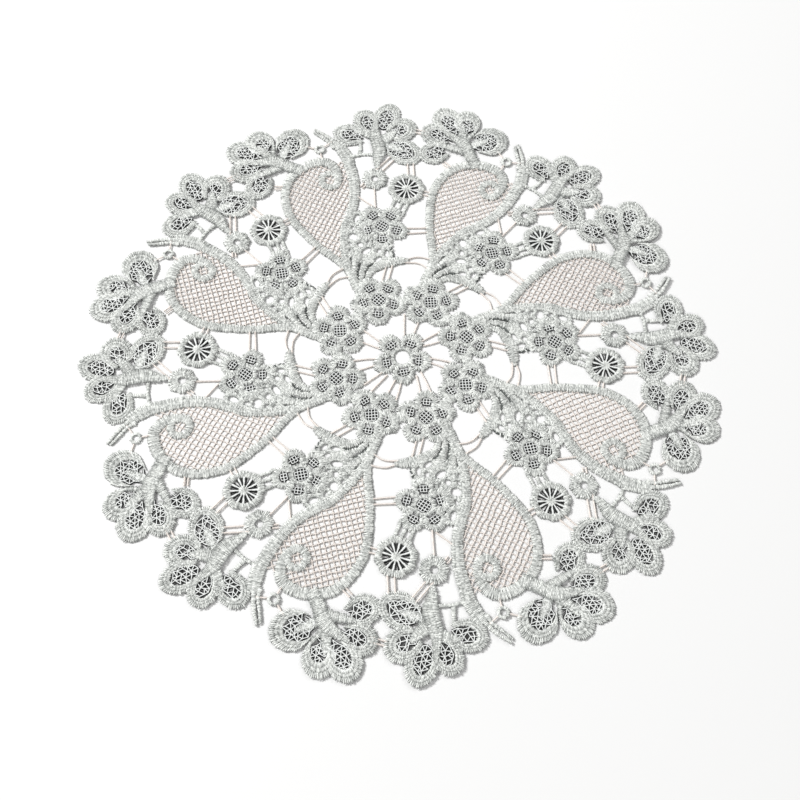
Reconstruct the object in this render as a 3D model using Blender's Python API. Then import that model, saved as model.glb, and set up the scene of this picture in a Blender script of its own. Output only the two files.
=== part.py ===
"""A round lace doily, about 300 mm across its petals and 1.6 mm thick.

The lace is worked in one piece: padded satin-stitch leaves, stems and flowers, fine net
inside the leaves, and short bars of thread that hold the motifs together. One slice is
drawn with its axis along +Y, and eight like slices stand round the middle flower. The
origin is at the centre of the flat underside, with the good side facing +Z. Tables and
sizes are in millimetres and angles in degrees, and slab() turns them into Blender's units.
"""

import math
from collections import namedtuple

import bmesh
import bpy
from mathutils import Matrix, Vector

MM = 0.001

SLICES = 8
SATIN_THICKNESS = 1.6
NET_THICKNESS = 1.0
CURVE_STEP = 8.0
LONG_PETAL_SIDES = 10
ROUND_PETAL_SIDES = 6
HEART_SIDES = 10

# A padded strip runs smoothly through its rows: the middle of the strip, and its width there.
Row = namedtuple("Row", "x y width")

LEAF_BAND = (
    Row(-17.6, 45.0, 4.0),
    Row(-24.0, 56.0, 4.0),
    Row(-38.0, 73.0, 4.0),
    Row(-46.2, 90.0, 4.4),
    Row(-46.3, 99.0, 4.6),
    Row(-36.5, 113.6, 5.0),
    Row(-27.0, 116.8, 5.0),
    Row(-19.5, 113.0, 5.0),
    Row(-18.6, 105.0, 4.6),
)

STEM_BAND = (
    Row(-15.5, 38.0, 6.0),
    Row(-20.4, 62.0, 3.7),
    Row(-16.8, 80.0, 4.5),
    Row(-11.0, 98.0, 5.7),
    Row(-11.6, 112.0, 5.8),
    Row(-16.2, 126.0, 5.6),
    Row(-21.5, 131.5, 4.4),
    Row(-27.5, 137.0, 1.6),
)

SPRAY_BLADES = (
    (Row(-13.5, 35.0, 7.0), Row(-15.4, 50.0, 5.6), Row(-14.6, 61.5, 1.6)),
    (Row(-12.5, 35.0, 7.0), Row(-11.2, 50.0, 5.0), Row(-6.8, 58.5, 1.8)),
    (Row(-11.0, 38.0, 7.0), Row(-5.0, 51.2, 4.4), Row(3.0, 52.8, 4.4), Row(10.5, 51.6, 1.2)),
)

# The close little bars between the stem, the spray and the net flower, as one piece.
BRIDE_GROUND = (
    (-19.4, 54.0),
    (-19.4, 66.0),
    (-16.5, 80.0),
    (-8.0, 84.0),
    (-4.0, 66.0),
    (2.4, 64.0),
    (1.6, 53.0),
    (-10.0, 46.0),
)

# An edge flower is a fan of long petals about its hub. A petal's direction is counted from
# the slice's +X, and its reach is from the hub to the middle of its oval.
Petal = namedtuple("Petal", "direction reach half_length half_width")

CROWN_HUB = Vector((-48.0, 120.0))
CROWN_HEART = Petal(150, 3.5, 11.0, 8.6)
CROWN_PETALS = (
    Petal(52, 12.1, 9.8, 8.7),
    Petal(127, 14.7, 8.6, 7.3),
    Petal(161, 19.5, 8.8, 7.6),
    Petal(195, 17.8, 8.4, 7.0),
    Petal(233, 18.0, 8.6, 6.8),
)
CROWN_STEM = (Row(-49.0, 120.0, 11.0), Row(-43.0, 114.0, 10.0), Row(-38.0, 110.5, 6.0))

AXIS_HUB = Vector((4.5, 127.5))
AXIS_HEART = Petal(82, 2.6, 9.4, 8.0)
AXIS_PETALS = (
    Petal(162, 15.4, 9.2, 7.2),
    Petal(111, 13.2, 8.6, 6.6),
    Petal(66, 15.9, 10.0, 7.1),
    Petal(22, 14.2, 9.2, 7.8),
    Petal(-36, 14.8, 10.6, 8.0),
)
AXIS_STEM = (Row(4.5, 128.0, 9.0), Row(3.8, 119.0, 8.6), Row(1.0, 106.0, 7.0))

# A round spot is a plain disc, because the scallops of its edge are too fine for the solid.
Spot = namedtuple("Spot", "name x y radius sides")

SPOTS = (
    Spot("leaf_eye", -22.6, 105.0, 6.4, 10),
    Spot("little_ring", -26.2, 124.6, 3.2, 7),
    Spot("holed_flower", 0.0, 103.0, 6.8, 10),
    Spot("wheel", 15.0, 95.3, 8.9, 11),
)

# A round flower is a ring of even petals about its heart.
Flower = namedtuple("Flower", "name x y petals first_petal petal_reach petal_radius")

NET_FLOWER = Flower("net_flower", 0.0, 74.0, 5, 47, 7.3, 5.7)
RING_FLOWER = Flower("ring_flower", -7.2, 31.8, 5, 46, 7.1, 5.7)
MIDDLE_FLOWER = Flower("middle_flower", 0.0, 0.0, 5, -90, 8.6, 4.7)
MIDDLE_HEART_RADIUS = 8.0
MIDDLE_HOLE_RADIUS = 3.2

# A bar runs straight between two motifs and ends inside both.
Bar = namedtuple("Bar", "x y end_x end_y width")

BARS = (
    Bar(-2.6, 11.0, -5.4, 24.0, 4.0),
    Bar(0.0, 30.6, 11.0, 30.6, 9.6),
    Bar(-0.8, 54.0, -3.0, 40.0, 2.6),
    Bar(9.0, 52.0, 21.5, 49.0, 2.6),
    Bar(10.5, 71.5, 24.0, 69.0, 3.0),
    Bar(5.0, 80.0, 12.0, 92.0, 5.6),
    Bar(-10.5, 93.5, -2.0, 84.0, 1.6),
    Bar(-1.2, 84.0, -1.2, 98.0, 1.6),
    Bar(20.0, 93.0, 30.0, 90.5, 3.2),
    Bar(6.0, 99.0, 11.0, 98.5, 5.0),
    Bar(18.6, 100.0, 19.2, 113.0, 3.0),
    Bar(2.0, 107.0, 11.0, 115.0, 3.0),
    Bar(-9.0, 104.0, -4.0, 105.5, 5.6),
    Bar(-11.0, 118.0, 2.0, 118.4, 1.8),
    Bar(-14.0, 123.0, -9.0, 128.5, 5.4),
    Bar(-46.5, 103.3, -55.0, 103.3, 3.0),
    Bar(-26.2, 124.6, -20.0, 127.4, 2.0),
    Bar(-26.2, 124.6, -35.0, 127.0, 2.4),
    Bar(-26.2, 124.6, -24.6, 115.5, 2.0),
    Bar(24.4, 131.8, 29.5, 130.0, 3.0),
    Bar(22.0, 116.5, 30.0, 116.5, 4.0),
)


def clear_scene():
    for thing in list(bpy.data.objects):
        bpy.data.objects.remove(thing, do_unlink=True)


def thread_material():
    """Soft matt embroidery thread in a pale mint grey."""
    material = bpy.data.materials.new("lace_thread")
    material.use_nodes = True
    shader = material.node_tree.nodes["Principled BSDF"]
    shader.inputs["Base Color"].default_value = (0.61, 0.71, 0.68, 1)
    shader.inputs["Roughness"].default_value = 0.85
    shader.inputs["Metallic"].default_value = 0
    return material


def away(direction, distance):
    """The step this far in this direction."""
    return Matrix.Rotation(math.radians(direction), 2) @ Vector((distance, 0))


def oval(middle, half_length, half_width, direction, sides):
    """The corners of an oval whose length lies along the direction."""
    turn = Matrix.Rotation(math.radians(direction), 2)
    corners = []
    for side in range(sides):
        angle = 2 * math.pi * (side + 0.5) / sides
        corner = Vector((half_length * math.cos(angle), half_width * math.sin(angle)))
        corners.append(middle + turn @ corner)
    return corners


def smooth_line(rows):
    """Points about CURVE_STEP apart on the smooth curve through the rows, as (x, y, width)."""
    corners = [Vector(row) for row in rows]
    padded = [corners[0], *corners, corners[-1]]
    line = [corners[0]]
    for before, start, end, after in zip(padded, padded[1:], padded[2:], padded[3:]):
        steps = max(1, round((end - start).xy.length / CURVE_STEP))
        for step in range(1, steps + 1):
            t = step / steps
            bend = (end - before) * t / 2
            bend += (2 * before - 5 * start + 4 * end - after) * t**2 / 2
            bend += (3 * start - before - 3 * end + after) * t**3 / 2
            line.append(start + bend)
    return line


def strip_outline(rows):
    """The outline of a flat strip that runs smoothly through its rows."""
    line = smooth_line(rows)
    last = len(line) - 1
    left, right = [], []
    for index, point in enumerate(line):
        ahead = (line[min(index + 1, last)] - line[max(index - 1, 0)]).xy.normalized()
        across = Vector((-ahead.y, ahead.x)) * point.z / 2
        left.append(point.xy + across)
        right.append(point.xy - across)
    return left + right[::-1]


def slab(name, outline, thickness=SATIN_THICKNESS, hole=()):
    """A flat piece with this outline, standing on z = 0, with or without a hole."""
    curve = bpy.data.curves.new(name, "CURVE")
    curve.dimensions = "2D"
    curve.fill_mode = "BOTH"
    curve.extrude = thickness * MM / 2
    for loop in filter(None, (outline, hole)):
        spline = curve.splines.new("POLY")
        spline.points.add(len(loop) - 1)
        spline.use_cyclic_u = True
        for point, corner in zip(spline.points, loop):
            point.co = (corner[0] * MM, corner[1] * MM, 0, 1)
    drawn = bpy.data.objects.new(name, curve)
    drawn.location.z = thickness * MM / 2
    bpy.context.scene.collection.objects.link(drawn)
    bpy.context.view_layer.update()
    evaluated = drawn.evaluated_get(bpy.context.evaluated_depsgraph_get())
    mesh = bpy.data.meshes.new_from_object(evaluated)
    mesh.transform(drawn.matrix_world)
    bpy.data.objects.remove(drawn)
    shell = bmesh.new()
    shell.from_mesh(mesh)
    bmesh.ops.remove_doubles(shell, verts=shell.verts, dist=1e-6)
    bmesh.ops.recalc_face_normals(shell, faces=shell.faces)
    shell.to_mesh(mesh)
    shell.free()
    return mesh


def leaf_pieces():
    """The paisley leaf: the band that curls round it, and the net between band and stem."""
    crown_to_foot = smooth_line(STEM_BAND[1:5])[::-1]
    net = [point.xy for point in smooth_line(LEAF_BAND[:-1]) + crown_to_foot]
    return [slab("leaf_net", net, NET_THICKNESS), slab("leaf_band", strip_outline(LEAF_BAND))]


def stem_pieces():
    """The long stem beside the leaf, the spray at its foot and the close bars between them."""
    blades = [slab("spray_blade", strip_outline(rows)) for rows in SPRAY_BLADES]
    return [slab("stem", strip_outline(STEM_BAND)), slab("brides", BRIDE_GROUND), *blades]


def edge_flower_pieces(name, hub, heart, petals, stem):
    """A fan of long petals, the heart that they grow from and the stem that holds it."""
    pieces = [slab(name + "_stem", strip_outline(stem))]
    for petal in (heart, *petals):
        middle = hub + away(petal.direction, petal.reach)
        outline = oval(middle, petal.half_length, petal.half_width, petal.direction, LONG_PETAL_SIDES)
        pieces.append(slab(name + "_petal", outline))
    return pieces


def spot_pieces():
    """The leaf's eye, the little ring, the holed flower and the wheel."""
    pieces = []
    for spot in SPOTS:
        middle = Vector((spot.x, spot.y))
        pieces.append(slab(spot.name, oval(middle, spot.radius, spot.radius, 0, spot.sides)))
    return pieces


def round_petals(flower):
    """The even petals of a round flower."""
    pieces = []
    for number in range(flower.petals):
        direction = flower.first_petal + 360 / flower.petals * number
        middle = Vector((flower.x, flower.y)) + away(direction, flower.petal_reach)
        outline = oval(middle, flower.petal_radius, flower.petal_radius, direction, ROUND_PETAL_SIDES)
        pieces.append(slab(flower.name + "_petal", outline))
    return pieces


def round_flower_pieces(flower):
    """A round flower with a heart that reaches the middles of its petals."""
    middle = Vector((flower.x, flower.y))
    heart = oval(middle, flower.petal_reach, flower.petal_reach, flower.first_petal, HEART_SIDES)
    return [slab(flower.name + "_heart", heart), *round_petals(flower)]


def bar_pieces():
    """The bars between motifs, each a narrow flat strip."""
    pieces = []
    for bar in BARS:
        ends = (Row(bar.x, bar.y, bar.width), Row(bar.end_x, bar.end_y, bar.width))
        pieces.append(slab("bar", strip_outline(ends)))
    return pieces


def slice_pieces():
    """Everything in one of the eight slices."""
    pieces = leaf_pieces() + stem_pieces() + spot_pieces() + bar_pieces()
    pieces += edge_flower_pieces("crown_flower", CROWN_HUB, CROWN_HEART, CROWN_PETALS, CROWN_STEM)
    pieces += edge_flower_pieces("axis_flower", AXIS_HUB, AXIS_HEART, AXIS_PETALS, AXIS_STEM)
    return pieces + round_flower_pieces(NET_FLOWER) + round_flower_pieces(RING_FLOWER)


def middle_heart():
    """The holed heart of the middle flower, which every other piece is joined to."""
    middle = Vector((MIDDLE_FLOWER.x, MIDDLE_FLOWER.y))
    edge = oval(middle, MIDDLE_HEART_RADIUS, MIDDLE_HEART_RADIUS, 0, HEART_SIDES)
    hole = oval(middle, MIDDLE_HOLE_RADIUS, MIDDLE_HOLE_RADIUS, 0, HEART_SIDES)
    mesh = slab("lace_doily", edge, hole=hole)
    mesh.materials.append(thread_material())
    return mesh


def place(meshes, turns, collection):
    """Each mesh as a wire object at every turn about the centre."""
    for turn in turns:
        for mesh in meshes:
            piece = bpy.data.objects.new(mesh.name, mesh)
            piece.rotation_euler.z = turn
            piece.hide_render = True
            piece.display_type = "WIRE"
            collection.objects.link(piece)


def build():
    clear_scene()
    doily_parts = bpy.data.collections.new("lace_doily")
    joined_parts = bpy.data.collections.new("joined_into_doily")
    joined_parts.hide_render = True
    for collection in (doily_parts, joined_parts):
        bpy.context.scene.collection.children.link(collection)

    turns = [2 * math.pi * number / SLICES for number in range(SLICES)]
    place(slice_pieces(), turns, joined_parts)
    place(round_petals(MIDDLE_FLOWER), [0], joined_parts)

    doily = bpy.data.objects.new("lace_doily", middle_heart())
    doily_parts.objects.link(doily)
    join = doily.modifiers.new("join_lace", "BOOLEAN")
    join.operation = "UNION"
    join.operand_type = "COLLECTION"
    join.collection = joined_parts
    join.solver = "EXACT"


build()
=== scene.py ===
"""A round lace doily, worked in one piece: eight like slices about a middle flower.

Each slice is drawn with its axis along +Y, in millimetres, and turned to its eight places.
Heights are counted from the table that the doily lies on.
"""

import math
from collections import namedtuple

import bpy
import numpy as np
from mathutils import Matrix, Vector


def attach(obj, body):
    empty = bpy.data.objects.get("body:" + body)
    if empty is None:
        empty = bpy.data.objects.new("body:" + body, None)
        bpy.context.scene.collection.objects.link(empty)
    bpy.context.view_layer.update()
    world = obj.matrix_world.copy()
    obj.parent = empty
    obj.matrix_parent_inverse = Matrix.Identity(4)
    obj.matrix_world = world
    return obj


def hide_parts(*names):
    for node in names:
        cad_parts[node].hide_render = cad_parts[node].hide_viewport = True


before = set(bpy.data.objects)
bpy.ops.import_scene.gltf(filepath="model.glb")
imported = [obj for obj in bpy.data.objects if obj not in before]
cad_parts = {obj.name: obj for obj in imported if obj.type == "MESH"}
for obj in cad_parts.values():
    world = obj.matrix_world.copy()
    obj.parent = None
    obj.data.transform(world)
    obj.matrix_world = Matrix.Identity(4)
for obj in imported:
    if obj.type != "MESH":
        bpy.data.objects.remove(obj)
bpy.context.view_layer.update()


# Leaf nets. Square net of single cream thread, stitched first, on a film that is washed
# away later. Each crossing is locked with a knot, and the threads wander a little.

MM = 0.001
SLICES = 8
NET_PITCH = 2.36
NET_WIDTH = 0.48
NET_HEIGHT = 0.42
NET_LEVEL = 0.3
NET_WANDER = 0.2
NET_SAG = 0.3
NET_KNOT = 1.22
NET_OVER = 0.06
# painted light down the sides of a net thread, low for more painted shade there
NET_FLANK = 0.2
NET_TURNS = (-31, -36, -33, -38, -34, -29, -36, -32)
NET_CREAM = (0.86, 0.79, 0.735, 1)
# painted shade: the colour of a net thread down its sides, below its crown
NET_PAINTED_SHADE = (0.36, 0.29, 0.25, 1)
# x and y
LEAF_NET_EDGE = (
    (-20.0, 50.0), (-24.0, 56.0), (-33.0, 66.0), (-42.5, 80.0), (-46.3, 92.0),
    (-45.7, 102.0), (-40.5, 111.0), (-31.0, 116.0), (-26.0, 117.0), (-20.0, 115.0),
    (-12.0, 117.5), (-11.5, 100.0), (-15.5, 82.0), (-19.0, 72.0), (-20.5, 60.0),
)

SEED = 20
draw = np.random.default_rng(SEED)


def inside(points, edge):
    """Which points lie within a closed outline."""
    x, y = points[..., 0], points[..., 1]
    hits = np.zeros(x.shape, int)
    for (ax, ay), (bx, by) in zip(edge, np.roll(edge, -1, axis=0)):
        if ay != by:
            crossed = (y < ay) != (y < by)
            hits += crossed & (x < ax + (y - ay) * (bx - ax) / (by - ay))
    return hits % 2 == 1


def across(line):
    """The direction to the left of a flat line, at each of its points."""
    ahead = np.gradient(line[:, :2], axis=0)
    left = np.column_stack([-ahead[:, 1], ahead[:, 0]])
    return left / np.maximum(np.linalg.norm(left, axis=1, keepdims=True), 1e-9)


# One closed run of work: its points, the way out of the thread at each, its faces, its painted
# light and tone, which stands for how high each point stands on its stitch: painted shade in a
# gap at 0, pale on the crown at 1, with uneven tone from stitch to stitch; and how far each is
# along the run that its plies repeat over.
Work = namedtuple("Work", "points out faces crest strand")
# how far below a stitch's foot its rounding is centred, and the steepest lean of its ends
ROUNDNESS = 0.2
STEEPEST = 1.1
# the corners of the flat ends of a ring of three, four or six points
CAPS = {3: ((0, 1, 2, 2),), 4: ((0, 1, 2, 3),), 6: ((0, 1, 2, 3), (0, 3, 4, 5))}


def skin(rings, crest, strand, joined=False):
    """Closes rows of rings into work. Rings are of three, four or six points, and many runs
    of equal length may come at once. A face that repeats its last corner has three."""
    runs, count, size = rings.shape[:3]
    first = np.arange(runs)[:, None, None] * count * size
    rows = np.arange(count if joined else count - 1)[None, :, None] * size
    place = np.arange(size)[None, None, :]
    turn = (place + 1) % size
    after = (rows + size) % (count * size)
    walls = [rows + turn, after + turn, after + place, rows + place]
    faces = [(np.stack(walls, -1) + first[..., None]).reshape(-1, 4)]
    if not joined:
        for cap in CAPS[size]:
            back = (cap[2], cap[1], cap[0], cap[0]) if size == 3 else cap[::-1]
            faces.append(first[:, :, 0] + np.array(back))
            faces.append(first[:, :, 0] + (count - 1) * size + np.array(cap))
    crest, strand = (
        np.broadcast_to(value, rings.shape[:3]).reshape(-1) for value in (crest, strand)
    )
    if size == 3:
        core = (rings[:, :, :1] + rings[:, :, 2:]) / 2 - (0, 0, ROUNDNESS)
    else:
        core = rings.mean(axis=2, keepdims=True)
    out = rings - core
    out = out / np.maximum(np.linalg.norm(out, axis=-1, keepdims=True), 1e-6)
    if size == 3:
        run = np.gradient(rings[:, :, 1], axis=1)
        flat = np.maximum(np.linalg.norm(run[..., :2], axis=-1, keepdims=True), 1e-3)
        slope = np.clip(run[..., 2:] / flat, -STEEPEST, STEEPEST)
        out[..., :2] -= (slope * run[..., :2] / flat)[:, :, None, :]
    out = out.reshape(-1, 3)
    out = out / np.maximum(np.linalg.norm(out, axis=1, keepdims=True), 1e-6)
    return Work(rings.reshape(-1, 3), out, np.vstack(faces), crest, strand)


# how far the plies slant round a thread
PLY_SLANT = 0.2


def thread(line, width, height, level, sides=6, flank=0.55, crown=1.0):
    """A round thread through flat points. Width and level may change along it, and flank and
    crown are its painted light down its sides and on top: the lower, the more painted shade.
    With three sides only its upper half is made, closed flat underneath."""
    line = np.asarray(line, float)
    count = len(line)
    turn = np.linspace(0, 2 * math.pi, sides, endpoint=False)
    if sides == 3:
        turn = np.linspace(0, math.pi, sides)
    half = np.broadcast_to(np.asarray(width, float) / 2, count)[:, None, None]
    flat = line[:, None, :2] + across(line)[:, None, :] * np.cos(turn)[None, :, None] * half
    up = np.broadcast_to(level, count)[:, None] + np.sin(turn)[None, :] * height / 2
    rings = np.concatenate([flat, up[..., None]], -1)
    steps = np.linalg.norm(np.diff(line[:, :2], axis=0), axis=1)
    far = np.concatenate([[0], np.cumsum(steps)])
    strand = far[:, None] + PLY_SLANT * np.cos(turn)[None, :]
    crest = np.broadcast_to(flank + (crown - flank) * np.sin(turn), (count, sides))
    return skin(rings[None], crest, strand)


def square_net(edge, pitch, turn, width, level, wander, height, **more):
    """Square net inside an outline: two sets of threads that cross at shared knots."""
    edge = np.asarray(edge, float)
    middle = edge.mean(0)
    reach = math.ceil(np.linalg.norm(edge - middle, axis=1).max() / pitch) + 1
    step = np.arange(-reach, reach + 1) * pitch
    turn = math.radians(turn)
    one = np.array([math.cos(turn), math.sin(turn)])
    two = np.array([-math.sin(turn), math.cos(turn)])
    knots = middle + step[:, None, None] * one + step[None, :, None] * two
    knots = knots + draw.normal(0, wander, knots.shape).clip(-2 * wander, 2 * wander)
    kept = inside(knots, edge)
    runs = []
    for lines, held, rise in (
        (knots, kept, NET_OVER), (knots.swapaxes(0, 1), kept.T, -NET_OVER)
    ):
        for line, hold in zip(lines, held):
            found = np.flatnonzero(hold)
            for run in np.split(found, np.flatnonzero(np.diff(found) > 1) + 1):
                if len(run) < 2:
                    continue
                knotted = np.empty((2 * len(run) - 1, 2))
                knotted[0::2] = line[run]
                sag = draw.normal(0, NET_SAG * wander, (len(run) - 1, 2))
                knotted[1::2] = (line[run[:-1]] + line[run[1:]]) / 2 + sag
                thick = np.full(len(knotted), width)
                thick[0::2] *= NET_KNOT
                runs.append(thread(knotted, thick, height, level + rise, **more))
    return runs


RIM = 150
# how high, and in how many waves round the rim
RIM_LIFT, LIFT_WAVES = 0.25, 3
RIM_RIPPLE, RIPPLE_WAVES = 0.15, 7
# how far out of true, over the length of a wide and of a close wave, in x and in y
OUT_OF_TRUE = (0.25, 0.2)
WIDE_WAVES = (23, 21)
CLOSE_WAVES = (17, 19)


def lie(points, turn):
    """Turns a slice's points to their place, where the soft cloth is a little out of true and
    its rim doesn't touch the table all round."""
    c, s = math.cos(math.radians(turn)), math.sin(math.radians(turn))
    x = points[:, 0] * c - points[:, 1] * s
    y = points[:, 0] * s + points[:, 1] * c
    out = np.hypot(x, y) / RIM
    bearing = np.arctan2(y, x)
    lift = RIM_LIFT * out**3 * (1 + np.sin(LIFT_WAVES * bearing + 0.6))
    ripple = RIM_RIPPLE * out**2 * (1 + np.sin(RIPPLE_WAVES * bearing))
    wide, close = OUT_OF_TRUE
    moved = np.column_stack([
        x + wide * np.sin(y / WIDE_WAVES[0] + 0.5) + close * np.sin(x / CLOSE_WAVES[0]),
        y + wide * np.sin(x / WIDE_WAVES[1] + 1.9) + close * np.sin(y / CLOSE_WAVES[1]),
        points[:, 2] + lift + ripple,
    ])
    return moved * MM


def join(works):
    """Several works as one."""
    starts = np.cumsum([0] + [len(work.points) for work in works])
    faces = [work.faces + start for work, start in zip(works, starts)]
    points, out, crest, strand = (
        np.concatenate([getattr(work, name) for work in works])
        for name in ("points", "out", "crest", "strand")
    )
    return Work(points, out, np.vstack(faces), crest, strand)


SLICE_TURNS = [n * 360 / SLICES for n in range(SLICES)]


def whole(runs, turns=SLICE_TURNS):
    """The runs of a slice at each of the eight places, or at the turns given."""
    one = join(runs)
    placed = []
    for turn in turns:
        c, s = math.cos(math.radians(turn)), math.sin(math.radians(turn))
        out = one.out @ np.array([[c, s, 0], [-s, c, 0], [0, 0, 1]])
        placed.append(one._replace(points=lie(one.points, turn), out=out))
    return join(placed)


def piece(name, work, material):
    """One mesh object of the work given, shaded smooth, with its painted light and tone and its
    ply measure.
    """
    mesh = bpy.data.meshes.new(name)
    faces = [face[:3] if face[2] == face[3] else face for face in work.faces.tolist()]
    mesh.from_pydata(work.points.tolist(), [], faces)
    for measure in ("crest", "strand"):
        values = getattr(work, measure)
        mesh.attributes.new(measure, "FLOAT", "POINT").data.foreach_set("value", values)
    mesh.shade_smooth()
    mesh.normals_split_custom_set_from_vertices(work.out.tolist())
    mesh.materials.append(material)
    made = bpy.data.objects.new(name, mesh)
    bpy.context.scene.collection.objects.link(made)
    return made


class Shade:
    """A socket in a thread's shader, on which plain sums can be written."""

    def __init__(self, tree, socket=None):
        self.tree = tree
        self.socket = socket

    def node(self, kind, settings=None, sockets=None, out=0):
        """Adds a node: its settings first, then the values or links of its sockets."""
        made = self.tree.nodes.new(kind)
        for name, value in (settings or {}).items():
            setattr(made, name, value)
        for name, value in (sockets or {}).items():
            if isinstance(value, Shade):
                self.tree.links.new(value.socket, made.inputs[name])
            else:
                made.inputs[name].default_value = value
        return Shade(self.tree, made.outputs[out])

    def math(self, operation, *values):
        """A Math node on this value and any others."""
        values = dict(enumerate((self, *values)))
        return self.node("ShaderNodeMath", {"operation": operation}, values)

    def __add__(self, other):
        return self.math("ADD", other)

    def __sub__(self, other):
        return self.math("SUBTRACT", other)

    def __rsub__(self, other):
        return self.node("ShaderNodeMath", {"operation": "SUBTRACT"}, {0: other, 1: self})

    def __mul__(self, other):
        return self.math("MULTIPLY", other)

    __radd__ = __add__
    __rmul__ = __mul__


THREAD_MOTTLE = 90.0
THREAD_FUZZ = 1400.0
THREAD_DETAIL = 3.0
# how soon up a stitch its painted light makes the thread fully pale, and the lightness that
# the painted light, mottle and fuzz add
CREST_GAIN = 1.2
CREST_LIGHT = 0.85
MOTTLE_LIGHT = 0.3
FUZZ_LIGHT = 0.95
LIGHT_OFFSET = 0.48
# how far the plies and the fuzz stand out of a thread
PLY_RELIEF = 0.5
FUZZ_RELIEF = 1.2
RELIEF_STRENGTH = 0.55
RELIEF_DEPTH = 0.00008
# a thread is smoother on its crown, and rougher where it is fuzzy
CREST_SMOOTH = 0.12
FUZZ_ROUGH = 0.1
THREAD_SHEEN = 0.25
SHEEN_ROUGH = 0.4
THREAD_SPECULAR = 0.35


def thread_material(name, crown, painted_shade, ply, gloss):
    """Embroidery thread: pale on the crown of a stitch, darker with painted shade down beside it,
    uneven in tone from stitch to stitch, with the ply of the thread as fine ridges across its run."""
    material = bpy.data.materials.new(name)
    material.use_nodes = True
    tree = material.node_tree
    shader = tree.nodes["Principled BSDF"]
    start = Shade(tree)
    crest = start.node("ShaderNodeAttribute", {"attribute_name": "crest"}, out=2)
    strand = start.node("ShaderNodeAttribute", {"attribute_name": "strand"}, out=2)
    place = start.node("ShaderNodeTexCoord", out=3)
    mottle, fuzz = (
        start.node(
            "ShaderNodeTexNoise",
            sockets={"Vector": place, "Scale": scale, "Detail": THREAD_DETAIL},
        )
        for scale in (THREAD_MOTTLE, THREAD_FUZZ)
    )
    # painted light: the crown colour on top of a stitch, painted shade down its sides and in gaps
    raised = (crest * CREST_GAIN).math("MINIMUM", 1.0)
    lit = raised * CREST_LIGHT + mottle * MOTTLE_LIGHT + fuzz * FUZZ_LIGHT - LIGHT_OFFSET
    tone = start.node("ShaderNodeMix", {"data_type": "RGBA"}, {0: lit, 6: painted_shade, 7: crown}, out=2)
    plies = (strand * (2 * math.pi / ply)).math("SINE")
    relief = plies * PLY_RELIEF + fuzz * FUZZ_RELIEF
    bump = start.node(
        "ShaderNodeBump",
        sockets={"Height": relief, "Strength": RELIEF_STRENGTH, "Distance": RELIEF_DEPTH},
    )
    rough = gloss - crest * CREST_SMOOTH + fuzz * FUZZ_ROUGH
    for made, socket in ((tone, "Base Color"), (rough, "Roughness"), (bump, "Normal")):
        tree.links.new(made.socket, shader.inputs[socket])
    shader.inputs["Sheen Weight"].default_value = THREAD_SHEEN
    shader.inputs["Sheen Roughness"].default_value = SHEEN_ROUGH
    shader.inputs["Specular IOR Level"].default_value = THREAD_SPECULAR
    return material


net_material = thread_material("net_thread", NET_CREAM, NET_PAINTED_SHADE, ply=0.5, gloss=0.62)
net_work = []
for place, slant in zip(SLICE_TURNS, NET_TURNS):
    net = square_net(
        LEAF_NET_EDGE, NET_PITCH, slant, NET_WIDTH, NET_LEVEL, NET_WANDER, NET_HEIGHT,
        flank=NET_FLANK,
    )
    net_work.append(whole(net, [place]))
leaf_nets = piece("leaf_nets", join(net_work), net_material)
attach(leaf_nets, "root")
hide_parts("lace_doily")


# Leaf and stem bands. Satin stitch in a silky mint-grey thread, close over a padding
# thread, so it stands up in a rounded rib. Stitches end in small teeth along both edges.
# Three slim blades spring from the foot of each stem, and the longest arcs to the next leaf.

SATIN_MINT = (0.91, 0.928, 0.89, 1)
# painted shade: the satin's colour down the sides of its stitches, in needle holes and in gaps
SATIN_PAINTED_SHADE = (0.1, 0.112, 0.106, 1)
LEAF_HEIGHT = 1.02
LEAF_TEETH = (0.2, 0.22)
STEM_HEIGHT = 0.97
TAIL_HEIGHT = 0.95
# x, y and width
LEAF_BAND = (
    (-17.2, 43.0, 3.0), (-18.8, 48.0, 4.0), (-22.5, 54.5, 4.0), (-28.0, 60.5, 4.0),
    (-33.0, 66.0, 4.0), (-38.0, 73.0, 4.1), (-42.5, 80.0, 4.2), (-45.5, 87.0, 4.4),
    (-46.5, 95.0, 4.6), (-45.7, 102.0, 4.7), (-42.5, 108.7, 5.0), (-37.2, 113.4, 5.3),
    (-31.5, 116.0, 5.5), (-26.0, 116.7, 5.5), (-21.5, 114.6, 5.3), (-18.9, 110.3, 4.9),
    (-18.4, 105.0, 4.2), (-19.9, 101.6, 3.9), (-22.8, 100.4, 3.8), (-25.8, 101.6, 3.7),
    (-27.1, 104.8, 3.6), (-26.0, 107.9, 3.5), (-23.4, 109.2, 3.4), (-21.2, 108.7, 3.1),
    (-19.4, 107.0, 2.6),
)
STEM_BAND = (
    (-15.2, 36.0, 5.0), (-17.4, 43.0, 4.6), (-19.2, 50.0, 4.0), (-20.5, 60.0, 3.7),
    (-20.0, 68.0, 3.7), (-18.5, 76.0, 4.2), (-15.5, 82.0, 4.6), (-13.0, 88.0, 4.9),
    (-11.3, 95.0, 5.3), (-10.8, 103.0, 5.6), (-11.5, 110.0, 5.8), (-12.5, 117.0, 6.2),
    (-14.6, 123.0, 6.4), (-17.4, 128.0, 5.2),
)
STEM_TAILS = (
    ((-16.2, 124.5, 2.6), (-19.0, 129.5, 1.9), (-23.0, 133.6, 1.5), (-27.4, 137.2, 1.1)),
    ((-18.6, 124.5, 2.0), (-20.6, 128.0, 1.6), (-24.0, 131.6, 1.3), (-28.2, 135.6, 1.0)),
)


LINE_POINTS = 24


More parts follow.
